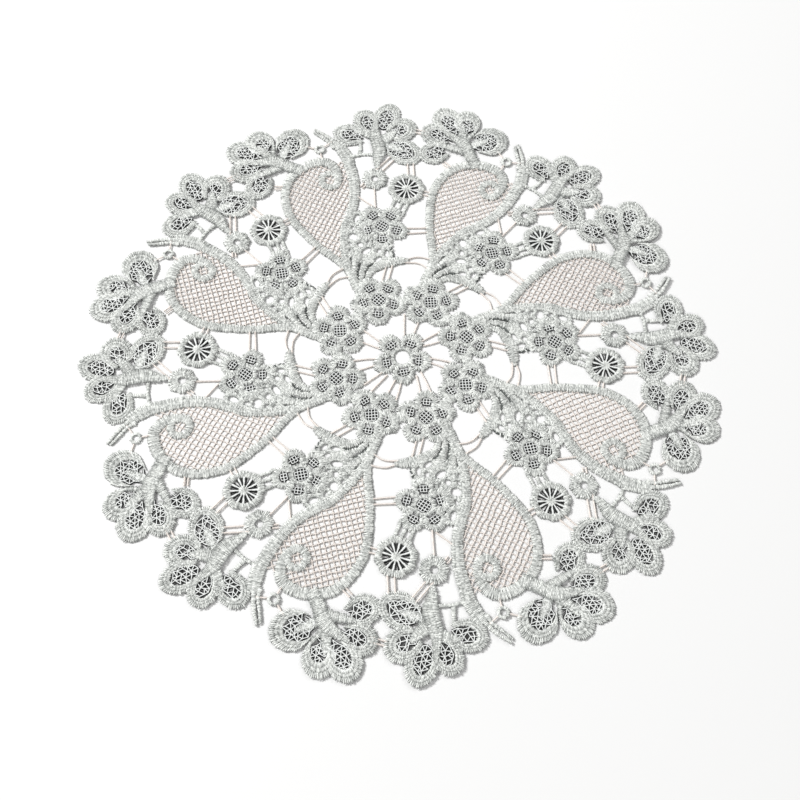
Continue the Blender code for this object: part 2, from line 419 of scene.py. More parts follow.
def smooth_line(rows, step):
    """A smooth line through rows of x, y and more, at even steps along it."""
    rows = np.array(rows, float)
    ends = np.vstack([2 * rows[0] - rows[1], rows, 2 * rows[-1] - rows[-2]])
    t = np.linspace(0, 1, LINE_POINTS, endpoint=False)[:, None]
    fine = []
    for a, b, c, d in zip(ends, ends[1:], ends[2:], ends[3:]):
        bend = (2 * a - 5 * b + 4 * c - d) * t**2 + (3 * b - a - 3 * c + d) * t**3
        fine.append((2 * b + (c - a) * t + bend) / 2)
    fine = np.vstack([*fine, rows[-1:]])
    steps = np.linalg.norm(np.diff(fine[:, :2], axis=0), axis=1)
    far = np.concatenate([[0], np.cumsum(steps)])
    even = np.linspace(0, far[-1], max(3, round(far[-1] / step) + 1))
    return np.column_stack([np.interp(even, far, column) for column in fine.T])


STITCH_FOOT = 0.16
STITCH_THIN = 0.25
# the height and the light of a stitch at its left side, its top and its right side
STITCH_BODY = (-0.12, 0.1, -0.12)
STITCH_LIGHT = (0.42, 1.0, 0.42)
# the share of its light that a stitch keeps where it goes down
STITCH_DULL = 0.55
# how far along a long stitch its crown starts, how high the crown of a long and of a short
# one is, and how far a short one's lies towards the end that goes down deeper
STITCH_RISE = 0.15
LONG_CROWN = 0.97
SHORT_CROWN = 0.98
CROWN_SHIFT = 0.2
# how slim a stitch is where it goes right down, and what height adds to that
STITCH_TIP = (0.3, 0.62)
# how uneven stitches are in width, height and light
STITCH_WIDTHS = (0.88, 1.1)
STITCH_HEIGHTS = (0.93, 1.05)
STITCH_TINT = (-0.46, 0.2)
# a stitch with an end shallower than this is a short one
SHORT_DIP = 0.8
# the share of its light that a stitch keeps in a needle hole
NEEDLE_HOLE = (0.1, 1.0)


def stitches(start, end, widths, height, dip=(0, 0), holes=(NEEDLE_HOLE, NEEDLE_HOLE)):
    """A closed stitch from each start to each end, pointed where it goes down to the share of
    its height that dip gives. The light on each is its own, and so is that in its holes."""
    count = len(start)
    way = end - start
    length = np.maximum(np.linalg.norm(way, axis=1, keepdims=True), 0.1)
    side = np.column_stack([-way[:, 1], way[:, 0]]) / length
    if max(dip) < SHORT_DIP:
        s, full = [0, STITCH_RISE, 1 - STITCH_RISE, 1], [0, 1, 1, 0]
        arch = [dip[0], LONG_CROWN, LONG_CROWN, dip[1]]
    else:
        s, full = [0, 0.5 + CROWN_SHIFT * np.sign(dip[0] - dip[1]), 1], [0, 1, 0]
        arch = [dip[0], SHORT_CROWN, dip[1]]
    s, arch = np.array(s, float), np.array(arch, float)
    tip = np.maximum(full, STITCH_TIP[0] + STITCH_TIP[1] * arch)
    along = s[None, :, None]
    line = start[:, None, :] * (1 - along) + end[:, None, :] * along
    thick = widths[0] * (1 - s) + widths[1] * s
    half = 0.5 * thick * tip * draw.uniform(*STITCH_WIDTHS, (count, 1))
    up = STITCH_FOOT + (height * draw.uniform(*STITCH_HEIGHTS, (count, 1)) - STITCH_THIN) * arch
    turn = np.array([0, 1, 2]) * math.pi / 2
    spread = (half[..., None] * np.cos(turn))[..., None]
    flat = line[:, :, None, :] + side[:, None, None, :] * spread
    rise = up[..., None] + np.array(STITCH_BODY)
    rings = np.concatenate([flat, rise[..., None]], -1)
    dull = STITCH_DULL + (1 - STITCH_DULL) * arch
    crest = np.array(STITCH_LIGHT) * dull[None, :, None]
    crest = crest + draw.uniform(*STITCH_TINT, (count, 1, 1))
    for place, low, light in zip((0, -1), dip, holes):
        if low:
            crest[:, place] *= draw.uniform(*light, (count, 1))
    strand = half[..., None] * np.cos(turn) + draw.uniform(0, 1, (count, 1, 1))
    return skin(rings, crest, strand)


SPLIT_LENGTH = 1.75
SPLIT_DIP = 0.86
SPLIT_LAP = 0.1
# how far the needle holes of a run wander along it together, and how far each does alone
NEEDLE_WANDER = (0.32, 0.1)
EDGE_WANDER = 0.16
# how many teeth's length short of an edge, or past it, a run may end
TOOTH_REACH = (-0.4, 2.2)
# the painted light of the bare padding where it shows between stitches: painted shade
PAD_PAINTED_SHADE = 0.3
# how far across the band, and how high, the padding's section goes
PADDING = ((0.06, 0.0), (0.12, 0.6), (0.5, 0.84), (0.88, 0.6), (0.94, 0.0), (0.5, 0.0))
PAD_EVERY = 4


def satin(left, right, height, tooth=(0.2, 0.2), dip=(0, 0), slant=0.35, full=1.1,
          joined=False, split=SPLIT_LENGTH, pad=PAD_PAINTED_SHADE, hole=NEEDLE_HOLE):
    """Satin stitch between two edges: a run from each left point over the padding to the
    right point. Long runs are split into shorter stitches at uneven needle holes. At its ends
    a run is drawn down to points of uneven reach, or only to the share of its height that
    dip gives, where the next row starts, and hole is the light in its needle holes there."""
    left, right = np.asarray(left, float), np.asarray(right, float)
    count = len(left)
    way = right - left
    length = np.maximum(np.linalg.norm(way, axis=1), 0.2)[:, None]
    way = way / length
    pitches = [
        np.roll(edge, -1, axis=0) - edge if joined else np.gradient(edge, axis=0)
        for edge in (left, right)
    ]
    wander = draw.normal(0, EDGE_WANDER, (2, count, 1))
    poke = np.array(tooth)[:, None, None] * draw.uniform(*TOOTH_REACH, (2, count, 1))
    start = left - way * poke[0] + pitches[0] * (wander[0] - slant / 2)
    end = right + way * poke[1] + pitches[1] * (wander[1] + slant / 2)
    room = [full * np.linalg.norm(step, axis=1)[:, None] for step in pitches]
    height = np.broadcast_to(height, count)[:, None]
    parts = max(1, round(float(length.mean()) / split))
    cuts = np.arange(parts + 1)[:, None, None] / parts
    for far, rows in zip(NEEDLE_WANDER, (1, parts + 1)):
        cuts = cuts + draw.uniform(-far, far, (rows, count, 1)) / parts
    cuts[0], cuts[-1] = 0, 1
    lap = SPLIT_LAP / parts
    runs = []
    for n in range(parts):
        begins, ends = n == 0, n == parts - 1
        a = cuts[n] - (0 if begins else lap)
        b = cuts[n + 1] + (0 if ends else lap)
        pair = [start * (1 - share) + end * share for share in (a, b)]
        widths = [room[0] * (1 - share) + room[1] * share for share in (a, b)]
        dips = (dip[0] if begins else SPLIT_DIP, dip[1] if ends else SPLIT_DIP)
        holes = (hole if begins else NEEDLE_HOLE, hole if ends else NEEDLE_HOLE)
        runs.append(stitches(*pair, widths, height, dips, holes))

    picks = np.arange(0, count, PAD_EVERY)
    if not joined:
        picks = np.unique(np.append(picks, count - 1))
    a, b = left[picks], right[picks]
    share, rise = np.array(PADDING).T
    flat = a[:, None, :] * (1 - share[None, :, None]) + b[:, None, :] * share[None, :, None]
    rings = np.concatenate([flat, (rise * height[picks])[..., None]], -1)
    return join([*runs, skin(rings[None], pad, 0.0, joined)])


SINK_LENGTH = 4


def band(rows, height, pitch=0.56, sunk=0.0, **more):
    """Satin stitch along rows of x, y and width. It may start out of the work below it."""
    line = smooth_line(rows, pitch)
    side = across(line) * line[:, 2:3] / 2
    start = np.maximum(1 - np.arange(len(line)) * pitch / SINK_LENGTH, 0)
    return satin(line[:, :2] + side, line[:, :2] - side, height - sunk * start, **more)


satin_material = thread_material("satin_thread", SATIN_MINT, SATIN_PAINTED_SHADE, ply=0.36, gloss=0.58)
leaf_work = [
    band(LEAF_BAND, LEAF_HEIGHT, tooth=LEAF_TEETH),
    band(STEM_BAND, STEM_HEIGHT),
    *(band(rows, TAIL_HEIGHT) for rows in STEM_TAILS),
]

SPRAY_HEIGHT = 0.98
SPRAY_PITCH = 0.66
SPRAY_TEETH = (0.3, 0.3)
# x, y and width
SPRAY_BLADES = (
    (
        (-17.0, 45.0, 1.8), (-16.8, 49.0, 2.4), (-16.0, 53.0, 3.2), (-14.9, 57.0, 3.6),
        (-14.0, 60.5, 2.0),
    ),
    (
        (-14.4, 40.5, 1.8), (-14.1, 44.5, 2.1), (-13.1, 48.5, 2.5), (-11.2, 52.4, 3.5),
        (-8.6, 56.0, 4.0), (-5.8, 58.6, 2.0),
    ),
    (
        (-12.3, 41.0, 1.8), (-11.0, 45.2, 2.4), (-8.6, 48.7, 3.6), (-5.0, 50.6, 4.2),
        (-1.0, 51.9, 5.0), (3.0, 52.7, 5.0), (6.6, 52.9, 4.2), (9.8, 52.6, 2.0),
    ),
)
SPRAY_GAPS = (
    ((-15.8, 43.0, 1.4), (-15.6, 48.0, 1.4), (-14.6, 52.0, 1.6), (-12.8, 56.5, 1.6)),
    ((-13.2, 42.6, 1.4), (-12.3, 47.0, 1.4), (-10.4, 50.2, 1.6), (-8.2, 52.6, 1.4)),
    ((-12.4, 41.6, 1.4), (-10.8, 44.2, 1.6), (-8.8, 46.6, 1.2)),
)
# strips along the gaps between the blades, all in painted shade: their height, their step along
# the gap, and how far their painted light, and that of the mat under the ground, lies below any
# stitch's
GAP_SHADE_HEIGHT = 0.32
GAP_STEP = 1.5
GAP_PAINTED_SHADE = 0.25


def gap_shade_strip(rows):
    """A low strip along the gap between two rows of satin, all in painted shade so that the gap
    reads dark.
    """
    line = smooth_line(rows, GAP_STEP)
    pad = thread(line[:, :2], line[:, 2], GAP_SHADE_HEIGHT, GAP_SHADE_HEIGHT / 2, sides=4)
    return pad._replace(crest=0 * pad.crest - GAP_PAINTED_SHADE)


for rows in SPRAY_BLADES:
    leaf_work.append(band(rows, SPRAY_HEIGHT, pitch=SPRAY_PITCH, tooth=SPRAY_TEETH))
for rows in SPRAY_GAPS:
    leaf_work.append(gap_shade_strip(rows))
satin_leaves = piece("satin_leaves", whole(leaf_work), satin_material)
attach(satin_leaves, "root")
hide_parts("lace_doily")


# Edge flowers. A fan of five long petals stands on each leaf's crown and another on each
# slice's axis. A petal is three rows of satin round a window of fine uneven net, the last
# with spiky ends, and satin fingers from the foot of the fan lie between the petals.

# a petal's direction in degrees, the reach of its middle, its half length and half width,
# the same for its net, the net's tail towards the hub, and how far round its satin goes
Petal = namedtuple("Petal", "direction reach long wide net_reach net_long net_wide tail open")
CROWN_HUB = (-48.0, 120.0)
CROWN_PETALS = (
    Petal(52, 12.1, 9.8, 8.7, 8.5, 7.4, 5.6, 0.0, 126),
    Petal(127, 14.4, 8.4, 7.2, 11.8, 4.4, 3.7, 1.7, 146),
    Petal(161, 19.5, 8.6, 7.4, 15.6, 6.6, 4.0, 2.2, 146),
    Petal(195, 17.8, 8.4, 7.0, 17.0, 4.4, 3.2, 4.0, 146),
    Petal(233, 18.0, 8.6, 6.8, 18.2, 4.6, 3.8, 1.4, 146),
)
AXIS_HUB = (4.5, 127.5)
AXIS_PETALS = (
    Petal(162, 14.8, 8.9, 7.0, 14.2, 4.8, 3.6, 1.0, 146),
    Petal(111, 12.9, 8.3, 6.5, 11.9, 5.1, 3.3, 2.0, 146),
    Petal(66, 15.1, 9.5, 7.0, 13.6, 6.3, 3.8, 1.4, 146),
    Petal(22, 13.5, 8.7, 7.4, 12.3, 4.3, 3.4, 1.6, 146),
    Petal(-36, 14.6, 10.4, 7.7, 13.3, 8.0, 4.8, 0.0, 132),
)
# the rows of a petal: the share of the way from window to rim where each starts and ends, its
# height, pitch and fill, and the painted shade on its bare padding
Row = namedtuple("Row", "low high height pitch full pad")
PETAL_ROWS = (
    Row(0.0, 0.36, 1.04, 0.72, 1.15, PAD_PAINTED_SHADE),
    Row(0.36, 0.64, 0.98, 0.72, 1.15, PAD_PAINTED_SHADE),
    Row(0.64, 1.02, 0.94, 0.94, 0.93, 0.2),
)
ROW_DIP = 0.8
# the share of its light that a row keeps in its needle holes where it meets the next: painted
# shade
ROW_HOLE = (0.25, 0.9)
ROW_LIFT = 0.07
# x, y and width
CROWN_FINGERS = (
    ((-46.6, 119.0, 3.6), (-45.6, 123.0, 4.0), (-43.4, 126.6, 3.4), (-41.8, 128.8, 1.4)),
    ((-51.4, 119.0, 4.6), (-53.4, 122.4, 4.8), (-55.8, 126.0, 3.4), (-57.8, 129.0, 1.0)),
    ((-50.6, 121.0, 2.6), (-50.6, 124.8, 2.0), (-50.2, 129.0, 1.4)),
    ((-46.5, 116.0, 4.0), (-51.0, 114.5, 4.0), (-55.6, 112.4, 3.4), (-60.0, 110.8, 1.0)),
    (
        (-36.6, 112.0, 6.0), (-41.8, 114.5, 5.8), (-46.5, 117.4, 6.4), (-51.0, 119.3, 6.2),
        (-56.6, 119.4, 4.0), (-62.6, 118.9, 1.4),
    ),
)
AXIS_FINGERS = (
    (
        (5.4, 123.9, 2.6), (8.8, 122.9, 3.8), (12.2, 121.4, 4.3), (14.8, 120.0, 3.0),
        (16.4, 119.3, 1.0),
    ),
    ((3.0, 130.0, 5.4), (-1.2, 132.2, 4.6), (-4.0, 133.2, 3.2), (-6.8, 133.5, 1.2)),
    ((4.6, 126.0, 5.0), (8.8, 127.9, 5.6), (11.6, 129.8, 4.0), (14.2, 131.8, 1.4)),
    (
        (2.2, 109.8, 2.0), (2.2, 113.0, 3.2), (3.6, 117.4, 5.8), (4.3, 121.6, 7.0),
        (3.6, 126.0, 6.4), (3.2, 130.4, 5.4), (3.6, 134.0, 3.6), (4.4, 138.6, 2.6),
        (4.9, 142.0, 1.0),
    ),
)
FINGER_HEIGHT = 1.08
FINGER_STEP = 0.07
FINGER_SUNK = 0.35
FINGER_SPLIT = 1.5
FINGER_DIP = 0.92
# the share of its light kept at the ends of a finger, and round the holes of the holed flower and
# the little ring: painted shade there
FINGER_HOLE = (0.0, 0.3)
# how much slimmer a petal's net and rim are towards its hub
NET_SLIM = 0.45
NET_SLIM_BEND = 1.5
RIM_SLIM = 0.3
RIM_POINTS = 400


def petal_edge(hub, petal, t, share):
    """Points round a petal at turns t, from the net's edge at share 0 to its rim at 1."""
    back = np.maximum(-np.cos(t), 0)
    slim = 1 - NET_SLIM * back**NET_SLIM_BEND * petal.tail / (petal.tail + petal.net_long)
    net = [
        petal.net_reach + petal.net_long * np.cos(t) - petal.tail * back,
        petal.net_wide * np.sin(t) * slim,
    ]
    rim = [petal.reach + petal.long * np.cos(t), petal.wide * np.sin(t) * (1 - RIM_SLIM * back)]
    x, y = (n * (1 - share) + r * share for n, r in zip(net, rim))
    c, s = math.cos(math.radians(petal.direction)), math.sin(math.radians(petal.direction))
    return np.column_stack([hub[0] + x * c - y * s, hub[1] + x * s + y * c])


def rim_turns(hub, petal):
    """Turns round a petal's rim, open towards the hub, and how far along it each is."""
    fine = np.radians(np.linspace(-petal.open, petal.open, RIM_POINTS))
    rim = petal_edge(hub, petal, fine, 1)
    steps = np.linalg.norm(np.diff(rim, axis=0), axis=1)
    return fine, np.concatenate([[0], np.cumsum(steps)])


def petal_rows(hub, petal, rows, lift=0.0, teeth=(0.2, 0.3)):
    """Rows of satin round a petal's net. Spaced stitches leave the padding showing between, in
    painted shade.
    """
    fine, far = rim_turns(hub, petal)
    work = []
    for row in rows:
        t = np.interp(np.linspace(0, far[-1], round(far[-1] / row.pitch) + 1), far, fine)
        first, last = row.low == 0, row is rows[-1]
        work.append(satin(
            petal_edge(hub, petal, t, row.low), petal_edge(hub, petal, t, row.high),
            row.height + lift, tooth=(teeth[0] if first else 0.0, teeth[1] if last else 0.0),
            dip=(0 if first else ROW_DIP, 0 if last else ROW_DIP), slant=0.0,
            full=row.full, pad=row.pad, hole=ROW_HOLE,
        ))
    return work


WINDOW_MINT = (0.92, 0.94, 0.92, 1)
# painted shade, near black: the colour down the sides of the window threads, which darkens the
# cells of the nets
WINDOW_PAINTED_SHADE = (0.015, 0.017, 0.016, 1)
# flank and crown are painted light: the steep dark flanks paint shade into the cells between
# threads
WINDOW_THREAD = dict(height=1.7, level=0.2, sides=3, flank=-2.6, crown=1.5)
FINE_PITCH = 2.3
FINE_WIDTH = 1.2
FINE_WANDER = 0.24
FINE_KEPT = 0.9
FINE_EDGE = 0.3
FINE_TURNS = np.radians(np.arange(0, 360, 10))
ROW_SHARE = math.sqrt(3) / 2


def uneven_net(edge, pitch, width):
    """Fine net of uneven three-cornered cells inside an outline."""
    edge = np.asarray(edge, float)
    low, high = edge.min(0) - pitch, edge.max(0) + pitch
    columns, rows = (np.ceil((high - low) / pitch / (1, ROW_SHARE))).astype(int) + 1
    i, j = np.meshgrid(np.arange(columns), np.arange(rows), indexing="ij")
    knots = np.stack([low[0] + (i + 0.5 * (j % 2)) * pitch, low[1] + j * pitch * ROW_SHARE], -1)
    knots = knots + draw.uniform(-FINE_WANDER, FINE_WANDER, knots.shape) * pitch
    kept = inside(knots, edge)
    runs = []
    for a, b in np.argwhere(kept):
        for da, db in ((1, 0), (b % 2, 1), (b % 2 - 1, 1)):
            c, d = a + da, b + db
            if 0 <= c < columns and d < rows and kept[c, d] and draw.random() < FINE_KEPT:
                ends = np.stack([knots[a, b], knots[c, d]])
                runs.append(thread(ends, width, **WINDOW_THREAD))
    return runs


def edge_flower(hub, petals, fingers):
    """The satin of one fan, and the nets of its windows."""
    satin_runs = [
        band(
            rows, FINGER_HEIGHT + FINGER_STEP * n, sunk=FINGER_SUNK,
            dip=(FINGER_DIP, FINGER_DIP), split=FINGER_SPLIT, hole=FINGER_HOLE,
        )
        for n, rows in enumerate(fingers)
    ]
    net_runs = []
    for n, petal in enumerate(petals):
        lift = ROW_LIFT * (n % 2)
        satin_runs += petal_rows(hub, petal, PETAL_ROWS, lift)
        edge = petal_edge(hub, petal, FINE_TURNS, FINE_EDGE)
        net_runs += uneven_net(edge, FINE_PITCH, FINE_WIDTH)
    return satin_runs, net_runs


window_material = thread_material("window_thread", WINDOW_MINT, WINDOW_PAINTED_SHADE, ply=0.36, gloss=0.6)
crown_work, crown_net = edge_flower(CROWN_HUB, CROWN_PETALS, CROWN_FINGERS)
axis_work, axis_net = edge_flower(AXIS_HUB, AXIS_PETALS, AXIS_FINGERS)
satin_crowns = piece("satin_crowns", whole(crown_work), satin_material)
satin_tips = piece("satin_tips", whole(axis_work), satin_material)
edge_nets = piece("edge_nets", whole(crown_net + axis_net), window_material)
for made in (satin_crowns, satin_tips, edge_nets):
    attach(made, "root")
    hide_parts("lace_doily")


# Round flowers. One lies inside each slice and one in the ring about the middle, each of
# five satin petals with small windows of square net, round a satin ring and a netted eye.
# A short satin bridge ties each flower of the ring to the next.

# a flower's middle, the direction of its first petal, the radius of its eye, the reach and
# half length of its petals, and the reach, half length and half width of their nets
Round = namedtuple("Round", "x y first eye reach size net_reach net_long net_wide")
NET_FLOWER = Round(0.0, 74.0, 47, 2.9, 7.4, 5.9, 7.9, 1.9, 2.7)
RING_FLOWER = Round(-7.2, 31.8, 46, 2.9, 7.5, 6.3, 7.9, 1.8, 2.6)
ROUND_PETALS = 5
ROUND_SLIM = 0.87
ROUND_OPEN = 132
ROUND_TEETH = (0.12, 0.4)
ROUND_LIFT = 0.05
ROUND_EDGE = 0.15
ROUND_TURNS = np.radians(np.arange(0, 360, 15))
ROUND_ROWS = (Row(0.0, 1.0, 1.02, 0.84, 1.08, PAD_PAINTED_SHADE),)
FLOWER_PITCH = 1.42
FLOWER_WIDTH = 1.02
FLOWER_WANDER = 0.06
FLOWER_SLANT = 12
EYE_HEIGHT = 0.98
EYE_WIDTH = 1.9
EYE_CLEAR = 0.2
EYE_DIP = (0, 0.82)
EYE_TEETH = (0.12, 0.4)
OPEN_EYE_TEETH = (0.05, 0.4)
EYE_NET_OVER = 0.5
EYE_CORNERS = 24
EYE_SLANT, EYE_UNEVEN = 45, 10
BRIDGE_HEIGHT = 1.1
# x, y and width
RING_BRIDGE = ((1.5, 29.4, 5.6), (5.6, 30.2, 5.2), (9.6, 31.0, 5.6))


def circle(x, y, radius, count):
    """Points round a circle."""
    t = np.linspace(0, 2 * math.pi, count, endpoint=False)
    return np.column_stack([x + radius * np.cos(t), y + radius * np.sin(t)])


def ring_turns(around, pitch):
    """Turns of the stitches round a closed ring, as many as its padding can share out."""
    count = PAD_EVERY * max(3, round(around / pitch / PAD_EVERY))
    return np.linspace(0, 2 * math.pi, count, endpoint=False)


LOBE_MIDDLE = 0.6


def ring(x, y, inner, outer, height, pitch=0.58, lobes=0, depth=0.0, **more):
    """A closed ring of satin, its outer edge in lobes."""
    t = ring_turns(math.pi * (inner + outer), pitch)
    far = outer + depth * (np.abs(np.cos(lobes * t / 2)) - LOBE_MIDDLE)
    way = np.column_stack([np.cos(t), np.sin(t)])
    return satin(
        (x, y) + way * inner, (x, y) + way * far[:, None], height, joined=True, **more
    )


def round_flower(flower, netted=True):
    """The satin of a round flower, and the nets of its windows and its eye."""
    hub = (flower.x, flower.y)
    inner = flower.eye + EYE_CLEAR
    teeth = EYE_TEETH if netted else OPEN_EYE_TEETH
    satin_runs = [ring(*hub, inner, inner + EYE_WIDTH, EYE_HEIGHT, tooth=teeth, dip=EYE_DIP)]
    net_runs = []
    for n in range(ROUND_PETALS):
        direction = flower.first + n * 360 / ROUND_PETALS
        petal = Petal(
            direction, flower.reach, flower.size, flower.size * ROUND_SLIM,
            flower.net_reach, flower.net_long, flower.net_wide, 0.0, ROUND_OPEN,
        )
        satin_runs += petal_rows(hub, petal, ROUND_ROWS, ROUND_LIFT * (n % 3), ROUND_TEETH)
        window = petal_edge(hub, petal, ROUND_TURNS, ROUND_EDGE)
        slant = direction + draw.uniform(-FLOWER_SLANT, FLOWER_SLANT)
        net_runs += square_net(
            window, FLOWER_PITCH, slant, FLOWER_WIDTH, wander=FLOWER_WANDER, **WINDOW_THREAD
        )
    if netted:
        eye = circle(*hub, flower.eye + EYE_NET_OVER, EYE_CORNERS)
        slant = EYE_SLANT + draw.uniform(-EYE_UNEVEN, EYE_UNEVEN)
        net_runs += square_net(
            eye, FLOWER_PITCH, slant, FLOWER_WIDTH, wander=FLOWER_WANDER, **WINDOW_THREAD
        )
    return satin_runs, net_runs


inner_work, inner_net = round_flower(NET_FLOWER)
ring_work, ring_net = round_flower(RING_FLOWER)
ring_work.append(band(RING_BRIDGE, BRIDGE_HEIGHT))
satin_flowers = piece("satin_flowers", whole(inner_work + ring_work), satin_material)
flower_nets = piece("flower_nets", whole(inner_net + ring_net), window_material)
for made in (satin_flowers, flower_nets):
    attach(made, "root")
    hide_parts("lace_doily")


# Wheel, holed flower and little ring of each slice. The wheel has a dozen thread spokes in
# an open satin ring, round a satin boss. The holed flower and the little ring are satin
# round a single needle-worked hole.

# a ring's middle, its radii, height, pitch, lobes and their depth, and how its ends go down,
# with the painted shade in its needle holes
Ring = namedtuple("Ring", "x y inner outer height pitch lobes depth tooth dip hole")
WHEEL = (15.3, 95.4)
WHEEL_RIM = Ring(*WHEEL, 5.8, 9.2, 1.25, 0.58, 8, 0.9, (0.02, 0.18), (0, 0), NEEDLE_HOLE)
WHEEL_BOSS = Ring(*WHEEL, 0.2, 2.5, 1.2, 0.5, 0, 0.0, (0.2, 0.2), (0.86, 0.3), NEEDLE_HOLE)
HOLED_FLOWER = Ring(0.0, 103.2, 1.7, 6.3, 1.1, 0.62, 8, 1.2, (0.0, 0.22), (0.7, 0), FINGER_HOLE)
LITTLE_RING = Ring(-26.2, 124.6, 1.35, 2.8, 1.0, 0.5, 0, 0.0, (0.0, 0.12), (0.5, 0), FINGER_HOLE)
WHEEL_SPOKES = 12
WHEEL_TURN = 8
WHEEL_UNEVEN = 4
SPOKE_REACH = (1.4, 3.8, 6.4)
SPOKE_WIDTHS = (1.0, 1.9, 2.8)
# flank and crown are painted light: the dark flanks paint shade into the gaps between the spokes
SPOKE_THREAD = dict(height=1.8, level=0.2, sides=3, flank=-2.0, crown=1.5)

wheel_work = [ring(**made._asdict()) for made in (WHEEL_RIM, WHEEL_BOSS)]
spoke_work = []
for n in range(WHEEL_SPOKES):
    uneven = draw.uniform(-WHEEL_UNEVEN, WHEEL_UNEVEN)
    a = math.radians(n * 360 / WHEEL_SPOKES + uneven + WHEEL_TURN)
    way = np.array([math.cos(a), math.sin(a)])
    line = [WHEEL + way * reach for reach in SPOKE_REACH]
    spoke_work.append(thread(line, SPOKE_WIDTHS, **SPOKE_THREAD))
wheel_work += [ring(**made._asdict()) for made in (HOLED_FLOWER, LITTLE_RING)]
satin_wheels = piece("satin_wheels", whole(wheel_work), satin_material)
wheel_spokes = piece("wheel_spokes", whole(spoke_work), window_material)
for made in (satin_wheels, wheel_spokes):
    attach(made, "root")
    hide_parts("lace_doily")


# Middle flower. Five netted satin petals round a satin ring with an open hole, stitched
# once, at the centre that all eight slices turn about.

MIDDLE_FLOWER = Round(0.0, 0.0, -92, 3.3, 8.2, 5.9, 8.0, 1.7, 2.8)
middle_work, middle_windows = round_flower(MIDDLE_FLOWER, netted=False)
middle_flower = piece("middle_flower", whole(middle_work, [0]), satin_material)
middle_nets = piece("middle_nets", whole(middle_windows, [0]), window_material)
for made in (middle_flower, middle_nets):
    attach(made, "root")
    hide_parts("lace_doily")


# Thread bars. Wrapped cream threads, about half of them laid in pairs, that hold the motifs
# of a slice apart and tie each slice to the next.

# a pair lies as far apart as its spread, and a single thread has none
Bar = namedtuple("Bar", "x y end_x end_y spread end_spread bow")
BARS = (
    Bar(11.0, 70.0, 22.5, 69.3, 3.2, 2.6, 0.0),
    Bar(18.6, 102.5, 19.3, 111.0, 3.0, 3.0, 0.0),
    Bar(1.5, 107.0, 11.0, 115.5, 2.8, 2.6, 0.0),
    Bar(24.0, 131.5, 31.0, 128.6, 1.8, 2.2, 0.0),
    Bar(21.0, 93.0, 27.0, 90.6, 2.0, 2.4, 0.0),
    Bar(-10.2, 93.6, -3.2, 86.6, 0.0, 0.0, 0.0),
    Bar(-1.9, 85.5, -0.9, 98.5, 0.0, 0.0, 0.0),
    Bar(-3.4, 40.5, 0.6, 51.0, 2.8, 2.8, 0.0),
    Bar(-5.3, 100.5, -7.4, 98.6, 1.6, 1.6, 0.0),
    Bar(-51.6, 103.4, -47.0, 102.8, 1.6, 1.6, 0.0),
    Bar(-23.6, 126.0, -19.6, 128.6, 0.0, 0.0, 0.0),
    Bar(-29.0, 125.4, -34.5, 127.4, 0.0, 0.0, 0.0),
    Bar(-26.0, 122.0, -25.6, 118.0, 0.0, 0.0, 0.0),
    Bar(8.0, 52.8, 21.0, 52.0, 0.0, 0.0, 1.6),
    Bar(8.0, 51.6, 20.0, 45.6, 0.0, 0.0, 1.8),
)
BAR_WIDTH = 0.85
BAR_WAIST = 0.7
BAR_HEIGHT = 0.65
BAR_LEVEL = 0.5
WRAP_STEP = 1.2
WRAP_UNEVEN = (0.85, 1.15)


def wrapped(rows):
    """A thread wrapped round and round with another, so its width is uneven."""
    line = smooth_line(rows, WRAP_STEP)
    widths = line[:, 2] * draw.uniform(*WRAP_UNEVEN, len(line))
    return thread(line[:, :2], widths, BAR_HEIGHT, BAR_LEVEL)


bar_work = []
for bar in BARS:
    way = np.array([bar.end_x - bar.x, bar.end_y - bar.y])
    side = np.array([-way[1], way[0]]) / np.linalg.norm(way)
    for half in (-0.5, 0.5) if bar.spread else (0,):
        start = np.array([bar.x, bar.y]) + side * half * bar.spread
        end = np.array([bar.end_x, bar.end_y]) + side * half * bar.end_spread
        bend = (start + end) / 2 + side * bar.bow
        bar_work.append(wrapped([(*start, BAR_WIDTH), (*bend, BAR_WAIST), (*end, BAR_WIDTH)]))
thread_bars = piece("thread_bars", whole(bar_work), net_material)
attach(thread_bars, "root")
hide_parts("lace_doily")


# Satin ground. Flat filling stitch with small open holes, between the stem and the round
# flower of each slice. With it are the satin brides, two that hold the fan on the slice's
# axis and three from the round flower to the wheel.

# an oval hole's middle, half length and half width, and its turn in degrees
Hole = namedtuple("Hole", "x y long wide turn")
HOLES = (
    Hole(-12.0, 80.2, 2.6, 1.4, 62),
    Hole(-14.5, 74.4, 1.7, 0.8, 105),
    Hole(-15.2, 69.4, 2.4, 2.2, 0),
    Hole(-12.2, 64.4, 1.7, 1.4, 150),
    Hole(-17.0, 65.3, 1.6, 0.7, 125),
    Hole(-17.6, 61.6, 1.1, 0.7, 95),
    Hole(-14.4, 60.6, 0.5, 0.5, 0),
    Hole(-9.6, 60.3, 2.9, 1.5, 30),
    Hole(-8.3, 65.2, 1.5, 0.6, 60),
    Hole(-3.4, 59.6, 1.6, 1.2, 50),
    Hole(0.0, 57.6, 2.2, 1.2, 85),
    Hole(-4.6, 54.8, 2.3, 1.1, 32),
)
HOLE_CLEAR = 0.7
# x and y
GROUND_EDGE = (
    (-19.0, 57.0), (-18.8, 66.0), (-17.4, 74.0), (-14.4, 82.0), (-11.8, 85.2), (-8.6, 84.0),
    (-8.6, 76.0), (-9.0, 68.0), (-5.0, 63.0), (3.0, 62.0), (3.2, 57.0), (2.0, 53.6),
    (-4.0, 51.6), (-13.0, 54.0),
)
GROUND_TURN = 35
GROUND_LENGTH = 1.9
GROUND_STAGGER = 0.2
GROUND_WANDER = 0.06
GROUND_LEAN = 0.12
GROUND_LAP = 0.55
GROUND_FULL = 1.25
GROUND_DIP = 0.84
